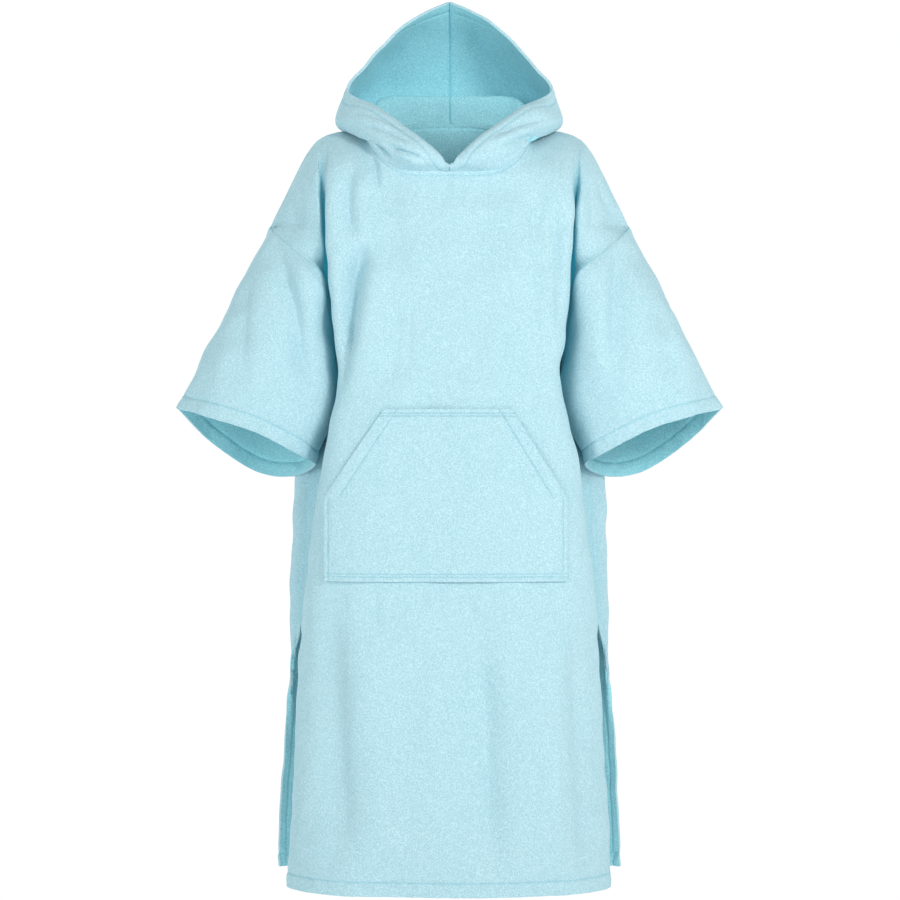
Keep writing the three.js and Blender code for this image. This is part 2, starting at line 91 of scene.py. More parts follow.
SECTION_NAMES = "z middle square edge_out edge_y fold_out fold_y lip_out lip_y"
FRONT_SECTIONS = table(
    SECTION_NAMES,
    (20, -96, 3.5, 182, -66, 190, -64, 199, -62),
    (-60, -105, 3.5, 180, -84, 188, -74, 196, -81),
    (-135, -120, 3.5, 178, -92, 182, -52, 190, -86),
    (-172, -126, 3.5, 176, -95, 179, -48, 187, -80),
    (-210, -131, 3.5, 174, -97, 174, -44, 184, -56),
    (-260, -136, 3.4, 170, -98, 162, -36, 169, -20),
    (-310, -141, 3.3, 165, -98, 152, -45, 149, -12),
    (-360, -145, 3.2, 159, -95, 141, -35, 147, 3),
    (-434, -150, 3.0, 173, -88, 150, -26, 160, 17),
    (-490, -154, 2.9, 186, -83, 169, -16, 184, 24),
    (-620, -162, 2.7, 204, -76, 193, -10, 203, 24),
    (-725, -169, 2.6, 214, -71, 207, -8, 213, 22),
    (-900, -179, 2.5, 225, -65, 219, -18, 216, 6),
    (-1100, -190, 2.5, 236, -60, 231, -20, 224, 4),
)
BACK_SECTIONS = table(
    SECTION_NAMES,
    (20, 96, 3, 182, 66, 190, 64, 199, 62),
    (-60, 112, 3, 182, 84, 189, 76, 197, 84),
    (-135, 124, 3, 182, 96, 187, 64, 195, 92),
    (-172, 128, 3, 182, 100, 185, 56, 194, 86),
    (-210, 130, 3, 181, 102, 181, 50, 191, 58),
    (-260, 130, 3, 180, 102, 172, 42, 178, 30),
    (-310, 128, 3, 180, 100, 170, 66, 154, 42),
    (-360, 125, 3, 188, 97, 183, 68, 170, 45),
    (-434, 121, 3, 212, 94, 213, 74, 200, 56),
    (-490, 120, 3, 229, 92, 232, 74, 224, 58),
    (-620, 122, 2.6, 234, 90, 237, 74, 230, 60),
    (-725, 126, 2.4, 236, 94, 240, 80, 234, 62),
    (-900, 136, 2.2, 226, 115, 236, 108, 244, 102),
    (-1100, 149, 2, 228, 124, 239, 117, 250, 109),
)
BACK_TURN = table("z turn", (-620, 1), (-725, 0.8), (-900, 0.2), (-1100, 0))

RIM_NAMES = "z out y"
FRONT_ARMHOLE = table(
    RIM_NAMES,
    (-135, 267, 5), (-145, 259, -26), (-172, 229, -68), (-210, 187, -92), (-260, 179, -50), (-310, 168, 15),
)
BACK_ARMHOLE = table(
    RIM_NAMES,
    (-135, 267, 5), (-145, 260, 36), (-172, 231, 79), (-210, 196, 100), (-260, 187, 62), (-310, 168, 15),
)
SIDE_SEAM = table(
    RIM_NAMES,
    (-310, 168, 15), (-360, 163, 30), (-434, 182, 46), (-490, 208, 50), (-620, 216, 50), (-725, 222, 48),
)
FRONT_SLIT = table(RIM_NAMES, (-725, 222, 48), (-800, 217, 31), (-900, 213, 25), (-1100, 215, 20))
BACK_SLIT = table(RIM_NAMES, (-725, 222, 48), (-800, 240, 84), (-900, 251, 98), (-1100, 260, 101))

# Broad upright waves, in shares of the half width
WAVE_NAMES = "across height reach half depth"
FRONT_WAVES = table(
    WAVE_NAMES,
    (-0.62, -130, 150, 0.2, -6),
    (-0.42, -120, 90, 0.12, -3),
    (0.75, -190, 140, 0.14, -5),
    (-0.25, -900, 330, 0.2, -5),
    (0.2, -960, 300, 0.24, 5),
    (0.55, -860, 330, 0.16, -5),
    (-0.68, -930, 280, 0.16, 4),
)
BACK_WAVES = table(
    WAVE_NAMES,
    (-0.55, -420, 420, 0.2, -13),
    (-0.22, -700, 520, 0.16, 12),
    (0.1, -860, 450, 0.15, -14),
    (0.38, -560, 480, 0.18, 13),
    (0.68, -480, 420, 0.16, -13),
    (-0.8, -900, 380, 0.14, 11),
)

CUFF = table(
    "at out y z",
    (0, 404, 0, -404), (0.125, 358, -58, -414), (0.25, 292, -84, -435), (0.375, 229, -76, -466),
    (0.44, 208, -54, -479), (0.5, 202, -2, -488), (0.625, 239, 62, -505), (0.75, 296, 92, -497),
    (0.875, 359, 62, -454), (1, 404, 0, -404),
)
SLEEVE_PUFF = 0.1
SLEEVE_DEPTH = 101
SLEEVE_FLATNESS = 0.55
UNDERARM_BOW = 20

HOOD_STEPS = ("low", "mid", "high", "top", "edge")
HOOD_ENDS = ("_out", "_y", "_z")
HOOD_SECTIONS = table(
    "at " + " ".join(step + end for step in HOOD_STEPS for end in HOOD_ENDS),
    (0, 0, -107, -60, 0, -110, -59, 0, -113, -58, 0, -115, -57, 0, -117, -56),
    (2, 68, -111, -50, 62, -122, -38, 54, -122, -25, 46, -113, -15, 40, -105, -16),
    (4, 121, -65, -9, 134, -48, -3, 136, -58, 15, 118, -58, 33, 103, -50, 35),
    (6, 133, 17, 21, 158, 11, 13, 168, 8, 26, 158, 8, 52, 151, 10, 70),
    (8, 123, 68, 34, 146, 88, 32, 152, 90, 60, 140, 62, 92, 126, 36, 112),
    (9, 109, 81, 61, 121, 108, 42, 134, 118, 72, 121, 85, 113, 101, 50, 143),
    (10, 90, 94, 71, 96, 124, 50, 112, 140, 86, 95, 106, 138, 66, 62, 178),
    (11, 46, 96, 72, 50, 128, 51, 58, 158, 91, 50, 130, 153, 34, 76, 199),
    (12, 0, 96, 72, 0, 129, 51, 0, 166, 92, 0, 142, 160, 0, 86, 215),
)

POCKET = {
    "top_left": -94, "top_right": 89, "left": -178, "right": 167,
    "top": -407, "slant": -536, "bottom": -654,
}
POCKET_LIFT = CLOTH + 1.1

ARMHOLE_LEVELS = (0, -14, -32, -55, -82, -112, -145, -180, -215, -250, -280, UNDERARM)


def hermite(a, b, leave, arrive, t):
    """A curve from a to b that leaves and arrives with the given slopes."""
    t2 = t * t
    t3 = t2 * t
    return a * (2 * t3 - 3 * t2 + 1) + leave * (t3 - 2 * t2 + t) + b * (3 * t2 - 2 * t3) + arrive * (t3 - t2)


def read(rows, column, place, key="z"):
    """One column of a table at places between its rows, along a smooth curve."""
    x = rows[key]
    y = rows[column]
    if x[0] > x[-1]:
        x = x[::-1]
        y = y[::-1]
    slope = np.empty_like(y)
    slope[1:-1] = (y[2:] - y[:-2]) / (x[2:] - x[:-2])
    slope[0] = (y[1] - y[0]) / (x[1] - x[0])
    slope[-1] = (y[-1] - y[-2]) / (x[-1] - x[-2])
    place = np.clip(place, x[0], x[-1])
    i = np.clip(np.searchsorted(x, place, side="right") - 1, 0, len(x) - 2)
    step = x[i + 1] - x[i]
    return hermite(y[i], y[i + 1], slope[i] * step, slope[i + 1] * step, (place - x[i]) / step)


def place_on(rows, at):
    """Points (out, y, z) of a line in space, at places along its table."""
    return np.stack([read(rows, name, at, "at") for name in ("out", "y", "z")], -1)


FRONT = {"neck": FRONT_NECK, "sections": FRONT_SECTIONS, "armhole": FRONT_ARMHOLE, "slit": FRONT_SLIT,
         "waves": FRONT_WAVES, "facing": -1}
BACK = {"neck": BACK_NECK, "sections": BACK_SECTIONS, "armhole": BACK_ARMHOLE, "slit": BACK_SLIT,
        "waves": BACK_WAVES, "facing": 1}


def rim_at(panel, z):
    """Where a panel's rim lies: the armhole, then the side seam, then its edge of the slit."""
    def along(name):
        below = np.where(z > SLIT_TOP, read(SIDE_SEAM, name, z), read(panel["slit"], name, z))
        return np.where(z > UNDERARM, read(panel["armhole"], name, z), below)
    return {"out": along("out"), "y": along("y")}


def wave_depth(panel, across, z):
    """How far the broad waves move a panel, at a share of its half width."""
    waves = panel["waves"]
    total = 0
    for k in range(len(waves["across"])):
        dx = (across - waves["across"][k]) / waves["half"][k]
        dz = (z - waves["height"][k]) / waves["reach"][k]
        total = total + waves["depth"][k] * np.exp(-dx * dx - dz * dz)
    return total * panel["facing"]


def section_point(panel, side, column, z):
    """Point (out, y) of a level section at a column, side -1 on the left and 1 on the right."""
    get = {name: read(panel["sections"], name, z) for name in SECTION_NAMES.split()[1:]}
    turn = read(BACK_TURN, "turn", z) if panel is BACK else 1.0
    angle = np.where(
        column < NECK,
        NECK_TURN * column / NECK,
        NECK_TURN + (math.pi / 2 - NECK_TURN) * (column - NECK) / (EDGE - NECK),
    )
    share = np.sin(np.clip(angle, 0, math.pi / 2))
    left = np.clip(1 - share ** get["square"], 0, None)
    depth = turn * left ** (1 / get["square"]) + (1 - turn) * left
    fade = 1 - share ** 6
    flat_y = get["edge_y"] + (get["middle"] - get["edge_y"]) * depth
    flat_y = flat_y + wave_depth(panel, side * share, z) * fade
    flat_out = get["edge_out"] * share
    rim = rim_at(panel, z)

    def folded(name):
        edge = get["edge_" + name]
        fold = get["fold_" + name]
        lip = get["lip_" + name]
        end = rim[name]
        leave = (fold - edge) * (1 if name == "y" else 1 - turn)
        at_fold = (lip - edge) / 2
        at_lip = (end - fold) * 0.25
        first = hermite(edge, fold, leave, at_fold, (column - EDGE) / (FOLD - EDGE))
        second = hermite(fold, lip, at_fold, at_lip, (column - FOLD) / (LIP - FOLD))
        third = hermite(lip, end, at_lip * 1.3, end - lip, (column - LIP) / (RIM - LIP))
        return np.where(column <= FOLD, first, np.where(column <= LIP, second, third))

    out = np.where(column <= EDGE, flat_out, folded("out"))
    y = np.where(column <= EDGE, flat_y, folded("y"))
    return out, y


def panel_point(panel, side, column, level):
    """Point of a panel: its level section, drawn up to the neckline and shoulder line at the top."""
    top = np.where((column <= NECK)[..., None], place_on(panel["neck"], column), place_on(SHOULDER, column))
    down = np.clip(level / UNDERARM, None, 1)
    z = top[..., 2] * (1 - down) + level
    out, y = section_point(panel, side, column, z)
    start_out, start_y = section_point(panel, side, column, top[..., 2])
    near = np.clip(1 - level / YOKE, 0, None)
    out = out + (top[..., 0] - start_out) * near ** 2
    y = y + (top[..., 1] - start_y) * near ** 4
    return np.stack([side * out, y, z], -1)


def armhole_level(index):
    """Level at a place along the armhole's list of levels, counted from its top."""
    rows = {"at": np.arange(len(ARMHOLE_LEVELS), dtype=float), "level": np.array(ARMHOLE_LEVELS, float)}
    return read(rows, "level", index, "at")


# Fine grids: evenly spread, with extra lines where a hem or a row of stitches lies

def spread(start, end, step, lines=(), close=1.4):
    """Places from start to end, a step apart, with five close ones at each of the lines."""
    count = max(int(round(abs(end - start) / step)), 1)
    values = [v for v in np.linspace(start, end, count + 1)
              if all(abs(v - line) > 2.2 * close for line in lines)]
    for line in lines:
        values += [line - 1.5 * close, line - 0.6 * close, line, line + 0.6 * close, line + 1.5 * close]
    values = [v for v in values if min(start, end) < v < max(start, end)] + [start, end]
    return np.array(sorted(set(values), reverse=end < start))


def outward(points, flip=False, closed=False):
    """Unit directions out of a grid of points."""
    grid = points
    if closed:
        grid = np.concatenate([points[:, -2:-1], points, points[:, 1:2]], 1)
    across = np.gradient(grid, axis=1)
    down = np.gradient(grid, axis=0)
    normal = np.cross(down, across)
    if closed:
        normal = normal[:, 1:-1]
    length = np.linalg.norm(normal, axis=-1, keepdims=True)
    normal = normal / np.maximum(length, 1e-9)
    return -normal if flip else normal


def creases(*lines):
    """Creases, each with its named values: the three places of its path, then its shape."""
    names = "from_x from_z past_x past_z to_x to_z half depth ridge".split()
    return [dict(zip(names, line)) for line in lines]


def furrow(u, v, crease):
    """Height of one crease: a soft trough along a bent path of three points.

    The ridge beside it lies on the right of the way along it, or on the left if its share is negative, and
    the slope up to it is the steep one.
    """
    a, b, c = (np.array([crease[end + "_x"], crease[end + "_z"]], float) for end in ("from", "past", "to"))
    half = crease["half"]
    depth = crease["depth"]
    ridge = crease["ridge"]
    t = np.linspace(0, 1, 21)[:, None]
    bend = 2 * b - (a + c) / 2
    line = (1 - t) ** 2 * a + 2 * t * (1 - t) * bend + t ** 2 * c
    best = np.full(np.shape(u), 1e9)
    aside = np.zeros(np.shape(u))
    where = np.zeros(np.shape(u))
    for k in range(20):
        start = line[k]
        run = line[k + 1] - start
        du = u - start[0]
        dv = v - start[1]
        s = np.clip((du * run[0] + dv * run[1]) / (run @ run), 0, 1)
        away = np.hypot(du - s * run[0], dv - s * run[1])
        nearer = away < best
        where = np.where(nearer, (k + s) / 20, where)
        aside = np.where(nearer, np.sign(du * run[1] - dv * run[0]) * -away, aside)
        best = np.minimum(away, best)
    taper = np.clip(np.minimum(where, 1 - where) / 0.35, 0, 1)
    taper = taper * taper * (3 - 2 * taper)
    toward_ridge = aside * np.sign(ridge)
    trough = np.exp(-(toward_ridge / np.where(toward_ridge > 0, 0.55 * half, 1.15 * half)) ** 2)
    past_crest = toward_ridge - 1.5 * half
    beside = np.exp(-(past_crest / np.where(past_crest > 0, 1.6 * half, 0.6 * half)) ** 2)
    return depth * taper * (abs(ridge) * beside - trough)


def crease_lift(points, normals, front_creases, back_creases):
    """Height that the creases add, each on the cloth that faces its side."""
    lift = np.zeros(points.shape[:2])
    for group, toward in ((front_creases, -1), (back_creases, 1)):
        facing = np.clip(normals[..., 1] * toward * 2.5, 0, 1)
        for crease in group:
            lift = lift + furrow(points[..., 0], points[..., 2], crease) * facing
    return lift


def unevenness(points, normals, size, height, seed=5):
    """Moves cloth in and out a little, in soft spots of about that size."""
    dice = np.random.default_rng(seed)
    moved = np.zeros(points.shape[:2])
    for _ in range(18):
        way = dice.normal(size=3)
        way *= 2 * math.pi / (size * dice.uniform(0.7, 1.6)) / np.linalg.norm(way)
        moved = moved + np.sin(points @ way + dice.uniform(0, 2 * math.pi))
    return normals * (moved * height / 3)[..., None]


def pucker(points, normals, distance, reach=9, height=0.8):
    """Small gathers that a row of stitches draws into the cloth beside it."""
    return unevenness(points, normals, 17, height, seed=11) * near_line(distance, reach)[..., None]


def gap(points, others):
    """Straight distance of each point of a grid from the others, such as those of its first row."""
    return np.linalg.norm(points - others, axis=-1)


def gap_to_ends(points):
    """Straight distance of each point from the nearer end of its row."""
    return np.minimum(gap(points, points[:, :1]), gap(points, points[:, -1:]))


def length_to_last_row(points):
    """Length of cloth from each point down to the last row."""
    steps = gap(points[:-1], points[1:])
    length = np.cumsum(steps[::-1], axis=0)[::-1]
    return np.concatenate([length, np.zeros((1, points.shape[1]))])


def eased(distance, reach):
    """0 at a seam, and 1 from that far away."""
    share = np.clip(distance / reach, 0, 1)
    return share * share * (3 - 2 * share)


def near_line(distance, width):
    """1 on a line, and soon 0 beside it."""
    return np.exp(-(distance / width) ** 2)


def thinned(thick, least, share):
    """Thickness drawn down to the least where the share is 1."""
    return thick - (thick - least) * share


def seam_shade(from_seam):
    """Shade in the fine line of a seam."""
    return 0.8 * near_line(from_seam, 1.4)


def stitch_shade(thickness):
    """Shade along the grooves that stitches press into the cloth."""
    return 0.28 * np.clip((2.2 - thickness) / 1.2, 0, 1)


def make_cloth(name, points, thickness, shade, flip=False, closed=False):
    """One wall of cloth on a grid of middle points in millimetres, with its thickness and shade at each.

    The front's inner side keeps the outer nap, and every other piece's inner side has the more teal copy
    that is painted with shade.
    """
    rows, columns = points.shape[:2]
    bm = bmesh.new()
    bmesh.ops.create_grid(bm, x_segments=columns - 1, y_segments=rows - 1, size=1)
    bulk = bm.verts.layers.deform.verify()
    # The fold layer holds the painted shade at each point: how far the colour is tinted teal and made to
    # glow
    deep = bm.verts.layers.float.new("fold")
    for vert in bm.verts:
        i = round((vert.co.x + 1) / 2 * (columns - 1))
        j = round((vert.co.y + 1) / 2 * (rows - 1))
        vert.co = Vector(points[j, i]) * MM
        vert[bulk][0] = min(float(thickness[j, i]) / DOUBLED, 1)
        vert[deep] = float(shade[j, i])
    if closed:
        bmesh.ops.remove_doubles(bm, verts=bm.verts, dist=0.01 * MM)
    if not flip:
        bmesh.ops.reverse_faces(bm, faces=bm.faces)
    mesh = bpy.data.meshes.new(name)
    bm.to_mesh(mesh)
    bm.free()
    mesh.shade_smooth()
    piece = bpy.data.objects.new(name, mesh)
    bpy.context.collection.objects.link(piece)
    piece.vertex_groups.new(name="thickness")
    wall = piece.modifiers.new("wall", "SOLIDIFY")
    wall.thickness = DOUBLED * MM
    wall.offset = 0
    wall.vertex_group = "thickness"
    wall.use_quality_normals = True
    # Inner walls take the second material, the copy of the nap painted with shade, except on the front
    wall.material_offset = 0 if name == "front_cloth" else 1
    edge = piece.modifiers.new("edge", "BEVEL")
    edge.width = 0.7 * MM
    edge.segments = 2
    edge.limit_method = "ANGLE"
    edge.angle_limit = math.radians(65)
    return piece


# Cloth and its finish

# Dark and light nap, outside and inside; the inside pair is a more teal copy, painted shade for the light
# that has come through or off other cloth
OUTSIDE = ((0.285, 0.515, 0.58), (0.49, 0.72, 0.79))
INSIDE_PAINTED_SHADE = ((0.215, 0.545, 0.625), (0.375, 0.765, 0.845))
# Painted shade: a teal tint that darkens the cloth in folds, seams and stitch grooves, and a faint painted
# glow in the deepest of it
PAINTED_SHADE_TINT = (0.38, 0.8, 0.86)
PAINTED_GLOW = (0.004, 0.07, 0.09)


def new_material(name):
    material = bpy.data.materials.new(name)
    material.use_nodes = True
    return material, material.node_tree.nodes, material.node_tree.links


def add_mix(nodes, links, kind, first, second, factor, data="RGBA"):
    """A mix of two colours or numbers, whose factor is a number or another node's output."""
    mix = nodes.new("ShaderNodeMix")
    mix.data_type = data
    if data == "RGBA":
        mix.blend_type = kind
    sockets = (0, 6, 7) if data == "RGBA" else (0, 2, 3)
    for socket, value in zip(sockets, (factor, first, second)):
        if isinstance(value, bpy.types.NodeSocket):
            links.new(value, mix.inputs[socket])
        else:
            mix.inputs[socket].default_value = value
    return mix.outputs[2 if data == "RGBA" else 0]


def terry_material(name, nap):
    """Looped terry: a deep matt nap whose colour follows the loops' height, partly the nap's own uneven tone
    and partly painted shade, lighter on the loop heads and darker in the hollows between them, with folds
    painted a fuller teal and given a faint painted glow, for the light that bounces from cloth to cloth in
    them."""
    material, nodes, links = new_material(name)
    shader = nodes["Principled BSDF"]
    shader.inputs["Roughness"].default_value = 0.95
    shader.inputs["Sheen Weight"].default_value = 0.18
    shader.inputs["Sheen Roughness"].default_value = 0.6
    shader.inputs["Sheen Tint"].default_value = (0.7, 0.95, 1, 1)
    shader.inputs["Specular IOR Level"].default_value = 0.1
    place = nodes.new("ShaderNodeTexCoord").outputs["Object"]

    def noise(scale, detail, roughness=0.6, stretch=None):
        source = place
        if stretch:
            mapping = nodes.new("ShaderNodeMapping")
            mapping.inputs["Scale"].default_value = stretch
            links.new(place, mapping.inputs["Vector"])
            source = mapping.outputs["Vector"]
        node = nodes.new("ShaderNodeTexNoise")
        node.inputs["Scale"].default_value = scale
        node.inputs["Detail"].default_value = detail
        node.inputs["Roughness"].default_value = roughness
        links.new(source, node.inputs["Vector"])
        return node.outputs["Fac"]

    def ramp(source, low, high, dark, light):
        node = nodes.new("ShaderNodeValToRGB")
        node.color_ramp.elements[0].position = low
        node.color_ramp.elements[0].color = (*dark, 1)
        node.color_ramp.elements[1].position = high
        node.color_ramp.elements[1].color = (*light, 1)
        links.new(source, node.inputs["Fac"])
        return node.outputs["Color"]

    loops = nodes.new("ShaderNodeTexVoronoi")
    loops.inputs["Scale"].default_value = 520
    loops.inputs["Randomness"].default_value = 1
    links.new(place, loops.inputs["Vector"])
    tufts = noise(330, 4, 0.75)
    height = add_mix(nodes, links, None, loops.outputs["Distance"], tufts, 0.55, "FLOAT")
    # Dark and light colours follow the loops' height: partly the nap's own uneven tone, partly painted shade
    # in the hollows
    base = ramp(height, 0.26, 0.66, *nap)
    brushed = ramp(noise(30, 5, 0.65, (1, 1, 0.35)), 0.3, 0.7, (0.9, 0.955, 0.965), (1, 1, 1))
    base = add_mix(nodes, links, "MULTIPLY", base, brushed, 0.55)
    clumps = ramp(noise(150, 3, 0.6), 0.35, 0.65, (0.93, 0.965, 0.975), (1, 1, 1))
    base = add_mix(nodes, links, "MULTIPLY", base, clumps, 0.35)
    # Painted shade from the fold layer tints the colour teal, and a painted glow rises where it is strongest
    fold = nodes.new("ShaderNodeAttribute")
    fold.attribute_name = "fold"
    base = add_mix(nodes, links, "MULTIPLY", base, (*PAINTED_SHADE_TINT, 1), fold.outputs["Fac"])
    links.new(base, shader.inputs["Base Color"])
    shader.inputs["Emission Color"].default_value = (*PAINTED_GLOW, 1)
    deep = nodes.new("ShaderNodeMath")
    deep.operation = "POWER"
    deep.inputs[1].default_value = 2.5
    links.new(fold.outputs["Fac"], deep.inputs[0])
    links.new(deep.outputs["Value"], shader.inputs["Emission Strength"])
    bump = nodes.new("ShaderNodeBump")
    bump.inputs["Strength"].default_value = 0.7
    bump.inputs["Distance"].default_value = 0.0011
    links.new(height, bump.inputs["Height"])
    links.new(bump.outputs["Normal"], shader.inputs["Normal"])
    return material


# The second material is the inner sides' copy of the nap, painted with shade
TERRY = (terry_material("terry towelling", OUTSIDE), terry_material("terry inside painted shade", INSIDE_PAINTED_SHADE))


def thread_material():
    material, nodes, _ = new_material("sewing thread")
    shader = nodes["Principled BSDF"]
    shader.inputs["Base Color"].default_value = (0.36, 0.66, 0.74, 1)
    shader.inputs["Roughness"].default_value = 0.7
    return material


THREAD = thread_material()
STITCH_PITCH = 4.2
STITCH_LENGTH = 3.1
STITCH_HALF = 0.45
GROOVE = 0.75


def sew(name, rows):
    """Rows of stitches, each a short rounded strand that lies along its groove."""
    bm = bmesh.new()
    for line, normals in rows:
        line = line + normals * GROOVE
        run = np.concatenate([[0], np.cumsum(np.linalg.norm(np.diff(line, axis=0), axis=1))])
        for start in np.arange(1, run[-1] - STITCH_LENGTH - 1, STITCH_PITCH):
            places = start + STITCH_LENGTH * np.array([0, 0.25, 0.75, 1])
            spots = [Vector([np.interp(place, run, line[:, k]) for k in range(3)]) for place in places]
            up = Vector([np.interp(places[1], run, normals[:, k]) for k in range(3)]).normalized()
            aside = up.cross(spots[3] - spots[0]).normalized()
            first = bm.verts.new(spots[0] * MM)
            last = bm.verts.new(spots[3] * MM)
            rings = []
            for spot in spots[1:3]:
                offsets = (aside, up, -aside, -up)
                rings.append([bm.verts.new((spot + offset * STITCH_HALF) * MM) for offset in offsets])
            for k in range(4):
                bm.faces.new((first, rings[0][(k + 1) % 4], rings[0][k]))
                bm.faces.new((rings[0][k], rings[0][(k + 1) % 4], rings[1][(k + 1) % 4], rings[1][k]))
                bm.faces.new((rings[1][k], rings[1][(k + 1) % 4], last))
    bmesh.ops.recalc_face_normals(bm, faces=bm.faces)
    mesh = bpy.data.meshes.new(name)
    bm.to_mesh(mesh)
    bm.free()
    mesh.shade_smooth()
    mesh.materials.append(THREAD)
    piece = bpy.data.objects.new(name, mesh)
    bpy.context.collection.objects.link(piece)
    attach(piece, "root")
    return piece


def finish_piece(piece, node):
    for material in TERRY:
        piece.data.materials.append(material)
    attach(piece, "root")
    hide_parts(node)


# Front and back

# Creases: the ridge beside each is a share of its depth
FRONT_CREASES = creases(
    (-137, -40, -146, -108, -131, -176, 13, 12.0, 0.35),
    (-122, -160, -138, -246, -162, -400, 17, 26.0, 0.3),
    (-52, -236, -58, -300, -62, -380, 13, 3.5, 0.4),
    (96, -250, 90, -330, 96, -400, 14, 3.0, -0.4),
    (-111, -34, -106, -62, -102, -98, 7, 4.5, 0.3),
    (-68, -240, -77, -314, -84, -390, 10, 2.4, 0.5),
    (150, -92, 156, -198, 158, -330, 13, 11.0, -0.3),
    (112, -80, 126, -162, 138, -265, 16, 6.0, -0.4),
    (-172, -650, -164, -870, -146, -1120, 44, 19.0, 0.25),
    (38, -670, 53, -900, 60, -1140, 40, 19.0, 0.3),
    (180, -670, 188, -870, 198, -1120, 30, 14.0, -0.3),
    (-152, -664, -151, -682, -149, -706, 6, 2.4, 0.4),
    (-102, -664, -104, -688, -107, -722, 7, 2.8, 0.4),
    (-38, -664, -36, -684, -36, -704, 6, 2.0, 0.4),
    (30, -664, 33, -688, 38, -718, 7, 2.6, 0.4),
    (92, -664, 96, -686, 99, -712, 7, 2.4, -0.4),
    (140, -664, 143, -684, 148, -704, 6, 2.2, -0.4),
)
BACK_CREASES = creases(
    (-148, -60, -134, -160, -156, -300, 16, 11.0, 0.35),
    (140, -56, 154, -150, 136, -290, 15, 11.0, -0.35),
    (-66, -30, -84, -100, -74, -210, 13, 6.0, 0.4),
    (58, -36, 72, -110, 88, -230, 12, 6.5, -0.4),
    (-24, -300, -44, -520, -30, -800, 30, 12.0, 0.3),
    (118, -330, 100, -560, 112, -860, 26, 12.0, -0.35),
    (-168, -380, -146, -620, -166, -960, 24, 11.0, 0.35),
    (30, -780, 40, -940, 22, -1110, 34, 12.0, 0.3),
    (190, -700, 178, -880, 196, -1100, 26, 10.0, -0.3),
    (-110, -820, -100, -960, -118, -1110, 26, 9.0, 0.3),
)
SHOULDER_CREASES = creases(
    (-232, -80, -221, -110, -216, -150, 9, 3.5, 0.4),
    (216, -62, 225, -88, 234, -118, 4, 4.5, 0.3),
    (208, -90, 209, -120, 211, -150, 7, 3.0, 0.3),
)
SLEEVE_CREASES = creases(
    (-262, -146, -222, -272, -200, -400, 19, 14.0, 0.4),
    (-296, -190, -300, -280, -300, -380, 18, 5.0, 0.3),
    (251, -146, 240, -261, 243, -400, 18, 12.0, -0.35),
    (296, -215, 318, -300, 330, -380, 17, 7.0, 0.3),
)
SLEEVE_BACK_CREASES = creases(
    (-256, -160, -238, -280, -246, -430, 19, 12.0, 0.4),
    (-200, -240, -216, -330, -228, -450, 14, 7.0, -0.3),
    (262, -150, 244, -270, 238, -420, 19, 12.0, -0.4),
    (306, -230, 312, -310, 322, -410, 16, 7.0, 0.3),
)
HOOD_CREASES = creases(
    (-107, -18, -95, -30, -81, -44, 3.4, 5.5, 0.4),
    (-93, -26, -62, -36, -30, -52, 4.0, 6.0, -0.4),
    (-150, 34, -86, 10, -42, -22, 6.0, 3.6, -0.5),
    (-160, 15, -96, -2, -44, -34, 6.0, 4.6, -0.5),
    (126, -4, 103, -14, 60, -29, 4.2, 3.6, 0.5),
    (108, -22, 98, -32, 84, -42, 3.4, 2.6, 0.3),
    (157, 22, 102, 7, 52, -20, 6.0, 3.6, 0.5),
)
HOOD_BACK_CREASES = creases(
    (29, 176, 53, 141, 83, 99, 12, -4.0, 0.2),
    (-66, 158, -83, 132, -104, 102, 12, -2.5, 0.2),
)

# Distances in from an edge at which grid lines lie, close together beside a row of stitches
RIM_MARKS = (0, 1.5, 4, 7, 10, 11.3, 12, 12.7, 14, 17)
SLIT_HEM = 12
NECK_STITCH = 7
SEAM_REACH = 16
HOOD_SEAM_REACH = 13

# Size and height of the cloth's uneven spots, on body and sleeves and on the hood
UNEVEN = (70, 1.1)
HOOD_UNEVEN = (50, 0.5)


def spread_to_edge(points, count, marks):
    """Places each row's points again, the last ones at set distances from its end, in falling order."""
    rows = []
    for line in points:
        steps = np.linalg.norm(np.diff(line, axis=0), axis=1)
        run = np.concatenate([[0], np.cumsum(steps)])
        scale = min(run[-1] / (marks[-1] + 8), 1)
        ends = run[-1] - np.array(marks[::-1]) * scale
        targets = np.concatenate([np.linspace(0, ends[0], count, endpoint=False), ends])
        rows.append(np.stack([np.interp(targets, run, line[:, k]) for k in range(3)], -1))
    return np.array(rows)


def panel_levels():
    """Levels of a panel's grid lines, close together at the neck seam and at the hem's stitches."""
    armhole = armhole_level(np.arange(0, len(ARMHOLE_LEVELS) - 1 + 1e-6, 1 / FINE))
    top = np.arange(0, -NECK_STITCH - 5, -1.2)
    armhole = np.concatenate([top, armhole[armhole < top[-1] - 1]])
    side = spread(UNDERARM, SLIT_TOP, 7)[1:]
    slit = spread(SLIT_TOP, HEM, 7, lines=(HEM + HEM_BAND,))[1:]
    return np.concatenate([armhole, side, slit])


def half_panel(panel, side, levels):
    """One half of a panel from the middle out to its rim."""
    inner = np.arange(0, LIP, 1 / FINE)
    column, level = np.meshgrid(inner, levels)
    middle = panel_point(panel, side, column, level)
    outer = np.linspace(LIP, RIM, 90)
    column, level = np.meshgrid(outer, levels)
    edge = spread_to_edge(panel_point(panel, side, column, level), 20, RIM_MARKS)
    return np.concatenate([middle, edge], 1)


def lines_from_middle(points):
    """How many lines of the grid each one lies away from the panel's middle."""
    count = points.shape[1]
    return np.abs(np.arange(count) - (count - 1) / 2)


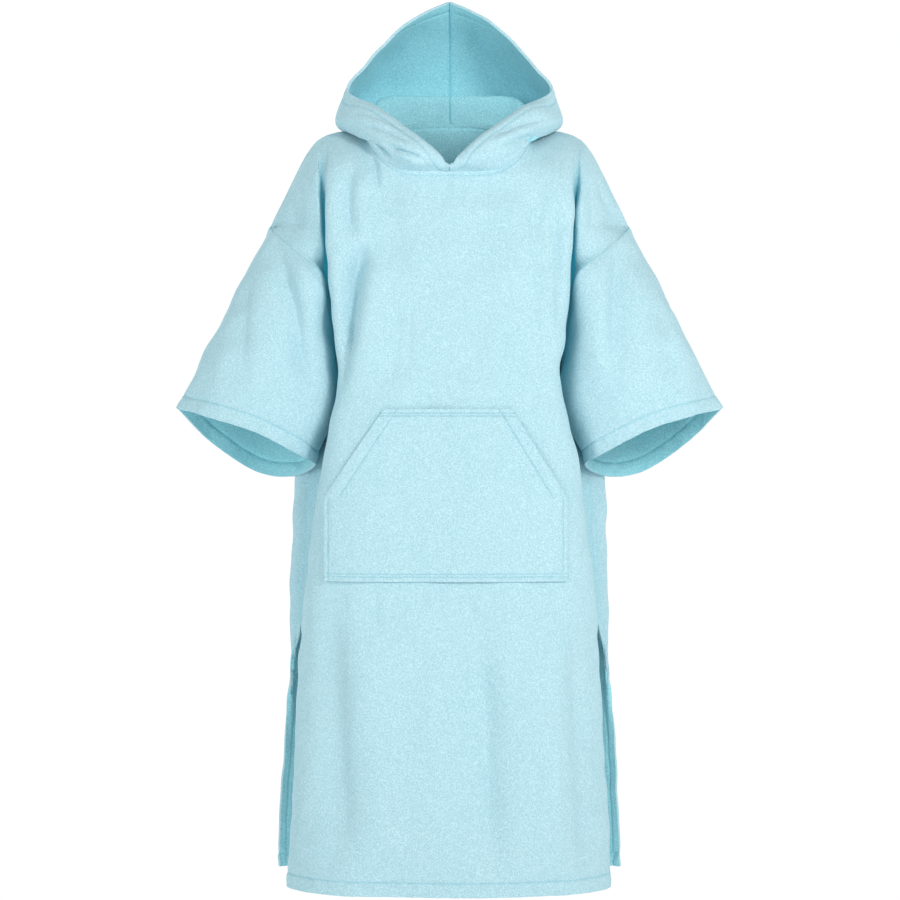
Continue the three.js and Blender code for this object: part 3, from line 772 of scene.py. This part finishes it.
def panel_thickness(points, levels):
    """Doubled at the hems, thin along stitches and a little thin at the seams."""
    from_rim = gap_to_ends(points)
    above_hem = np.repeat((levels - HEM)[:, None], points.shape[1], 1)
    slit = above_hem < SLIT_TOP - HEM + 3
    thick = np.where((above_hem < HEM_BAND) | (slit & (from_rim < SLIT_HEM)), DOUBLED, CLOTH)
    stitch = np.maximum(near_line(above_hem - HEM_BAND, 2), near_line(from_rim - SLIT_HEM, 2) * slit)
    beside_neck = lines_from_middle(points) <= NECK * FINE
    stitch = np.maximum(stitch, near_line(gap(points, points[:1]) - NECK_STITCH, 1.6) * beside_neck)
    return thinned(thinned(thick, PRESSED, stitch), SEAMED, near_line(from_rim, 1.6) * ~slit)


def fold_shade(points, levels):
    """Shade in the side fold: how far the cloth there lies behind its front edge.

    It is deepest beside the chest, and a little of it lies on the cloth past the fold, below the sleeves.
    """
    middle = (points.shape[1] - 1) // 2
    lines = lines_from_middle(points)
    left_edge = points[:, [middle - EDGE * FINE], 1]
    right_edge = points[:, [middle + EDGE * FINE], 1]
    edge = np.where(points[..., 0] < 0, left_edge, right_edge)
    behind = np.clip(np.abs(points[..., 1] - edge) / 26, 0, 1)
    inside = np.clip((lines - EDGE * FINE) / 8, 0, 1) * np.clip((LIP * FINE + 2 - lines) / 6, 0, 1)
    beside_chest = np.clip((levels + 420) / 60, 0.25, 1) * np.clip((levels + 800) / 120, 0, 1)
    beside_back = np.clip((lines - LIP * FINE) / 20, 0, 1) * 0.22
    low = np.clip((-400 - levels) / 60, 0, 1) * np.clip((levels + 820) / 100, 0, 1)
    return np.maximum(behind * inside * beside_chest[:, None], beside_back * low[:, None])


def shade_beside_front(points, normals):
    """Shade on the part of the back that turns forward, beside the front's edge."""
    edge = read(FRONT_SECTIONS, "edge_out", points[..., 2])
    past_edge = np.abs(points[..., 0]) - edge
    low = np.clip((-400 - points[..., 2]) / 60, 0, 1)
    return 0.3 * np.clip(1 - past_edge / 28, 0, 1) * low * np.clip(-2 * normals[..., 1], 0, 1)


def make_panel(name, node, panel, front_creases, back_creases):
    """The front or the back, with its creases, hems and stitches."""
    levels = panel_levels()
    left = half_panel(panel, -1, levels)
    right = half_panel(panel, 1, levels)
    points = np.concatenate([left[:, :0:-1], right], 1)
    flip = panel is BACK
    normals = outward(points, flip)
    columns = lines_from_middle(points) / FINE
    lift = crease_lift(points, normals, front_creases, back_creases) * np.clip(EDGE + 1 - columns, 0, 1)
    if panel is FRONT:
        past_fold = np.clip(columns - LIP + 1, 0, 1)
        lift = lift + crease_lift(points, normals, SHOULDER_CREASES, ()) * past_fold
    thickness = panel_thickness(points, levels)
    above_hem = np.repeat((levels - HEM)[:, None], points.shape[1], 1)
    from_rim = gap_to_ends(points)
    armhole_shade = seam_shade(from_rim) * (levels > UNDERARM)[:, None]
    from_seam = np.minimum(from_rim + np.clip(SLIT_TOP - levels, 0, None)[:, None], gap(points, points[:1]))
    moved = normals * lift[..., None] + unevenness(points, normals, *UNEVEN)
    points = points + moved * eased(from_seam, SEAM_REACH)[..., None]
    points = points + pucker(points, normals, above_hem - 0.6 * HEM_BAND, 12)
    if panel is FRONT:
        shade = fold_shade(points, levels)
    else:
        shade = shade_beside_front(points, normals)
    shade = np.maximum(np.maximum(shade, armhole_shade), stitch_shade(thickness))
    piece = make_cloth(name, points, thickness, shade, flip)
    normals = outward(points, flip)
    hem = int(np.argmin(np.abs(levels - HEM - HEM_BAND)))
    slit = slice(int(np.argmin(np.abs(levels - SLIT_TOP))), hem)
    aside = RIM_MARKS.index(SLIT_HEM)
    rows = [(points[hem, 3:-3], normals[hem, 3:-3])]
    rows += [(points[slit, k], normals[slit, k]) for k in (aside, -1 - aside)]
    stitches = sew(node + "_stitches", rows)
    finish_piece(piece, node)


make_panel("front_cloth", "front", FRONT, FRONT_CREASES, ())
make_panel("back_cloth", "back", BACK, (), BACK_CREASES)


# Sleeves

CUFF_BAND = 22
CUFF_MARKS = (0, 2, 6, 11, 16, 20, 21.3, 22, 22.7, 24, 27)
SEAM_RIDGE = 0.5


def armhole_ring(side, around):
    """The armhole seam at shares of the way round it, down the front and up the back."""
    last = len(ARMHOLE_LEVELS) - 1
    index = np.where(around <= 0.5, around, 1 - around) * 2 * last
    level = armhole_level(index)
    rim = np.full(len(around), float(RIM))
    front = panel_point(FRONT, side, rim, level)
    back = panel_point(BACK, side, rim, level)
    return np.where((around <= 0.5)[:, None], front, back)


def sleeve_points(side, around, downs):
    """Points of a sleeve at shares of the way round it and down it, from the armhole to the cuff."""
    ring = armhole_ring(side, around)
    end = place_on(CUFF, around)
    end[:, 0] *= side
    down = downs[:, None, None]
    points = ring * (1 - down) + end * down
    swell = np.sin(math.pi * downs)[:, None]
    under = np.sin(math.pi * around)[None, :] ** 6
    y = points[..., 1]
    depth = np.clip(np.abs(y) / SLEEVE_DEPTH, 0, 1)
    flatness = np.where(y < 0, SLEEVE_FLATNESS, 0) * swell ** 0.6
    points[..., 1] = np.sign(y) * SLEEVE_DEPTH * depth ** (1 - flatness) * (1 + SLEEVE_PUFF * swell)
    points[..., 0] -= side * UNDERARM_BOW * under * swell ** 2
    return points


def cuff_thickness(points):
    """Doubled at the cuff, thin along its stitches and a little thin at the armhole."""
    from_end = length_to_last_row(points)
    thick = np.where(from_end < CUFF_BAND, DOUBLED, CLOTH)
    thick = thinned(thick, PRESSED, near_line(from_end - CUFF_BAND, 2))
    return thinned(thick, SEAMED, near_line(gap(points, points[:1]), 1.6))


def make_sleeve(name, node, side):
    """A sleeve, sewn on along the armhole, with its creases, cuff and stitches."""
    points = sleeve_points(side, np.linspace(0, 1, 177), np.linspace(0, 1, 200))
    points = spread_to_edge(points.transpose(1, 0, 2), 70, CUFF_MARKS).transpose(1, 0, 2)
    thickness = cuff_thickness(points)
    flip = side > 0
    normals = outward(points, flip, closed=True)
    lift = crease_lift(points, normals, SLEEVE_CREASES, SLEEVE_BACK_CREASES)
    from_seam = gap(points, points[:1])
    ridge = SEAM_RIDGE * near_line(from_seam - 5, 3)
    from_stitches = gap(points, points[-1:]) - 0.6 * CUFF_BAND
    moved = normals * lift[..., None] + unevenness(points, normals, *UNEVEN)
    points = points + moved * eased(from_seam, SEAM_REACH)[..., None]
    points = points + normals * ridge[..., None] + pucker(points, normals, from_stitches, 12, 0.6)
    piece = make_cloth(name, points, thickness, stitch_shade(thickness), flip, closed=True)
    normals = outward(points, flip, closed=True)
    cuff = -1 - CUFF_MARKS.index(CUFF_BAND)
    stitches = sew(node + "_stitches", [(points[cuff], normals[cuff])])
    finish_piece(piece, node)


make_sleeve("sleeve_left_cloth", "sleeve_left", -1)
make_sleeve("sleeve_right_cloth", "sleeve_right", 1)


# Hood

HOOD_BAND = 17
HOOD_MARKS = (0, 1.5, 4, 8, 12, 15.6, 16.4, 17, 17.6, 18.4, 21)
HOOD_CALM_LINES = 12


def hood_points(side, column, up):
    """Points of a hood half, column by column round the neck and from the neck seam up to the front hem."""
    neck = np.where(
        (column <= NECK)[..., None], place_on(FRONT_NECK, column), place_on(BACK_NECK, 2 * NECK - column),
    )
    knots = [neck]
    for step in HOOD_STEPS:
        knot = [read(HOOD_SECTIONS, step + end, column, "at") for end in HOOD_ENDS]
        knots.append(np.stack(knot, -1))
    last = len(knots) - 1
    slopes = [knots[1] - knots[0]]
    slopes += [(knots[k + 1] - knots[k - 1]) / 2 for k in range(1, last)]
    slopes += [knots[last] - knots[last - 1]]
    points = np.zeros(knots[0].shape)
    for k in range(last):
        t = np.clip(up * last - k, 0, 1)[..., None]
        inside = ((up * last >= k) & ((up * last < k + 1) | (k == last - 1)))[..., None]
        points = np.where(inside, hermite(knots[k], knots[k + 1], slopes[k], slopes[k + 1], t), points)
    points[..., 0] *= side
    return points


def hood_thickness(points, side):
    """Doubled at the front hem and, on one side, where the allowance lies beside the back seam."""
    from_edge = length_to_last_row(points)
    from_back_seam = gap(points, points[:, -1:])
    from_seam = np.minimum(gap(points, points[:1]), from_back_seam)
    thick = np.where(from_edge < HOOD_BAND, DOUBLED, CLOTH)
    thick = thinned(thick, PRESSED, near_line(from_edge - HOOD_BAND, 2))
    thick = thinned(thick, SEAMED, near_line(from_seam, 1.6))
    turned = (from_back_seam > 1.5) & (from_back_seam < 8.5) & (side > 0)
    thick = np.where(turned, DOUBLED, thick)
    return thinned(thick, 1.1, near_line(from_back_seam, 1.4))


def make_hood(name, node, side):
    """One half of the hood, with its creases, front hem and stitches."""
    column, up = np.meshgrid(np.linspace(0, 2 * NECK, 181), np.linspace(0, 1, 320))
    points = hood_points(side, column, up)
    points = spread_to_edge(points.transpose(1, 0, 2), 116, HOOD_MARKS).transpose(1, 0, 2)
    thickness = hood_thickness(points, side)
    flip = side > 0
    normals = outward(points, flip)
    line = np.arange(points.shape[1])
    calm = np.clip((line[-1] - line) / HOOD_CALM_LINES, 0, 1) * np.clip(line / HOOD_CALM_LINES, 0, 1)
    calm = calm * eased(gap(points, points[:1]), HOOD_SEAM_REACH)
    lift = crease_lift(points, normals, HOOD_CREASES, HOOD_BACK_CREASES)
    moved = normals * lift[..., None] + unevenness(points, normals, *HOOD_UNEVEN)
    points = points + moved * calm[..., None]
    piece = make_cloth(name, points, thickness, stitch_shade(thickness), flip)
    normals = outward(points, flip)
    band = -1 - HOOD_MARKS.index(HOOD_BAND)
    stitches = sew(node + "_stitches", [(points[band, 3:-3], normals[band, 3:-3])])
    finish_piece(piece, node)


make_hood("hood_left_cloth", "hood_left", -1)
make_hood("hood_right_cloth", "hood_right", 1)


# Pocket, whose points are the front's moved out

POCKET_SIDE = 6
SLANT_BAND = 19
POCKET_MARKS = (0, 2, 4.5, 5.4, 6, 6.6, 7.5, 10, 13, 16, 17.8, 18.5, 19, 19.5, 20.2, 23)


def front_skin(x, z):
    """Points of the front at places across it and up it, in front of its side folds."""
    share = np.abs(x) / read(FRONT_SECTIONS, "edge_out", z)
    angle = np.arcsin(np.clip(share, 0, 1))
    column = np.where(
        angle < NECK_TURN,
        NECK * angle / NECK_TURN,
        NECK + (EDGE - NECK) * (angle - NECK_TURN) / (math.pi / 2 - NECK_TURN),
    )
    _, y = section_point(FRONT, np.where(x < 0, -1, 1), column, z)
    return np.stack([x, y, z], -1)


def make_pocket(name):
    """The pocket: a flat outline laid on the front, lifted off it, and gaping a little at its slants."""
    top = POCKET["top"]
    bottom = POCKET["bottom"]
    stitched = (top - 6, top - 10, bottom + 7, bottom + 11)
    heights = spread(top, bottom, 3.2, lines=stitched, close=0.7)
    slant = np.clip((heights - top) / (POCKET["slant"] - top), 0, 1)
    left = POCKET["top_left"] + (POCKET["left"] - POCKET["top_left"]) * slant
    right = POCKET["top_right"] + (POCKET["right"] - POCKET["top_right"]) * slant
    middle = (left + right) / 2
    halves = []
    for side, end in ((-1, left), (1, right)):
        x = middle[:, None] + (end - middle)[:, None] * np.linspace(0, 1, 120)[None, :]
        z = np.repeat(heights[:, None], x.shape[1], 1)
        line = np.stack([x, np.zeros(x.shape), z], -1)
        halves.append(spread_to_edge(line, 24, POCKET_MARKS))
    flat = np.concatenate([halves[0][:, :0:-1], halves[1]], 1)
    x = flat[..., 0]
    z = flat[..., 2]
    points = front_skin(x, z)
    from_side = np.minimum(x - x[:, :1], x[:, -1:] - x)
    slanted = z > POCKET["slant"] + 1
    gape = 2.2 * near_line(from_side, 26) * np.sin(math.pi * slant)[:, None] * slanted
    below_top = top - z
    above_bottom = z - bottom
    points = points + outward(points) * (POCKET_LIFT + gape)[..., None]
    to_stitches = np.minimum(np.minimum(below_top - 8, above_bottom - 9), from_side - 12)
    points = points + pucker(points, outward(points), to_stitches, 10, 0.35)
    thick = np.where((below_top < 12) | (slanted & (from_side < SLANT_BAND)), DOUBLED, CLOTH)
    stitch = np.maximum(
        near_line(from_side - SLANT_BAND, 1.2) * slanted, near_line(from_side - POCKET_SIDE, 1.1) * ~slanted,
    )
    for height in stitched:
        stitch = np.maximum(stitch, near_line(z - height, 1.1))
    thick = thinned(thick, PRESSED, stitch)
    piece = make_cloth(name, points, thick, stitch_shade(thick))
    normals = outward(points)
    rows = []
    for height in stitched:
        row = int(np.argmin(np.abs(heights - height)))
        rows.append((points[row, 8:-8], normals[row, 8:-8]))
    corner = int(np.argmin(np.abs(heights - POCKET["slant"])))
    for part, mark in ((slice(2, corner), SLANT_BAND), (slice(corner, -2), POCKET_SIDE)):
        aside = POCKET_MARKS.index(mark)
        rows += [(points[part, k], normals[part, k]) for k in (aside, -1 - aside)]
    stitches = sew("pocket_stitches", rows)
    finish_piece(
        piece, "pocket",
    )


make_pocket("pocket_cloth")


# Floor, light and camera

def make_floor(height, radius):
    """A pale disc that turns to the white of the room towards its edge."""
    bm = bmesh.new()
    bmesh.ops.create_circle(bm, cap_ends=True, segments=96, radius=radius)
    for vert in bm.verts:
        vert.co.z = height
    mesh = bpy.data.meshes.new("floor")
    bm.to_mesh(mesh)
    bm.free()
    floor = bpy.data.objects.new("floor", mesh)
    bpy.context.collection.objects.link(floor)
    material, nodes, links = new_material("pale floor")
    shader = nodes["Principled BSDF"]
    shader.inputs["Base Color"].default_value = (0.8, 0.8, 0.8, 1)
    shader.inputs["Roughness"].default_value = 0.9
    shader.inputs["Emission Color"].default_value = (1, 1, 1, 1)
    flat = nodes.new("ShaderNodeVectorMath")
    flat.operation = "MULTIPLY"
    flat.inputs[1].default_value = (1, 1, 0)
    links.new(nodes.new("ShaderNodeTexCoord").outputs["Object"], flat.inputs[0])
    length = nodes.new("ShaderNodeVectorMath")
    length.operation = "LENGTH"
    links.new(flat.outputs["Vector"], length.inputs[0])
    fade = nodes.new("ShaderNodeMapRange")
    fade.interpolation_type = "SMOOTHSTEP"
    fade.inputs["From Min"].default_value = 0.45 * radius
    fade.inputs["From Max"].default_value = 0.97 * radius
    fade.inputs["To Min"].default_value = 0.1
    fade.inputs["To Max"].default_value = 1
    links.new(length.outputs["Value"], fade.inputs["Value"])
    links.new(fade.outputs["Result"], shader.inputs["Emission Strength"])
    floor.data.materials.append(material)


def add_area_light(name, location, target, size, power, colour=(1, 1, 1)):
    data = bpy.data.lights.new(name, "AREA")
    data.shape = "DISK"
    data.size = size
    data.energy = power
    data.color = colour
    light = bpy.data.objects.new(name, data)
    light.location = location
    light.rotation_euler = (Vector(target) - Vector(location)).to_track_quat("-Z", "Y").to_euler()
    bpy.context.collection.objects.link(light)


def white_room(ceiling):
    """A studio that is white below and at eye level all round, and dimmer above."""
    world = bpy.data.worlds.new("white room")
    bpy.context.scene.world = world
    world.use_nodes = True
    nodes = world.node_tree.nodes
    links = world.node_tree.links
    background = nodes["Background"]
    background.inputs["Color"].default_value = (1, 1, 1, 1)
    place = nodes.new("ShaderNodeTexCoord")
    split = nodes.new("ShaderNodeSeparateXYZ")
    links.new(place.outputs["Generated"], split.inputs["Vector"])
    fade = nodes.new("ShaderNodeMapRange")
    fade.interpolation_type = "SMOOTHSTEP"
    fade.inputs["From Min"].default_value = 0.19
    fade.inputs["From Max"].default_value = 0.42
    fade.inputs["To Min"].default_value = 1.02
    fade.inputs["To Max"].default_value = ceiling
    links.new(split.outputs["Z"], fade.inputs["Value"])
    links.new(fade.outputs["Result"], background.inputs["Strength"])


# The photo's frame is this wide, in metres, where the garment is, seen from this far in front of it
VIEW_WIDTH = 1.3383
VIEW_DISTANCE = 4.0
VIEW_HEIGHT = -0.4654
SENSOR = 36
CENTRE = (0, 0, -0.45)

make_floor(-1.45, 1.8)
add_area_light("key light", (2.1, -3.4, 1.2), CENTRE, 1.1, 84, (1, 0.9, 0.88))
add_area_light("fill light", (-2.4, -3.4, 0.1), CENTRE, 2.2, 25)
add_area_light("rear light", (-1.4, 3.4, 1.6), CENTRE, 2.0, 55)
white_room(0.5)

lens = bpy.data.cameras.new("camera")
lens.sensor_width = SENSOR
lens.lens = SENSOR * VIEW_DISTANCE / VIEW_WIDTH
lens.clip_end = 60
camera = bpy.data.objects.new("camera", lens)
camera.location = (0.0007, -VIEW_DISTANCE, VIEW_HEIGHT)
camera.rotation_euler = (math.pi / 2, 0, 0)
bpy.context.collection.objects.link(camera)
bpy.context.scene.camera = camera
bpy.context.scene.view_settings.view_transform = "Standard"
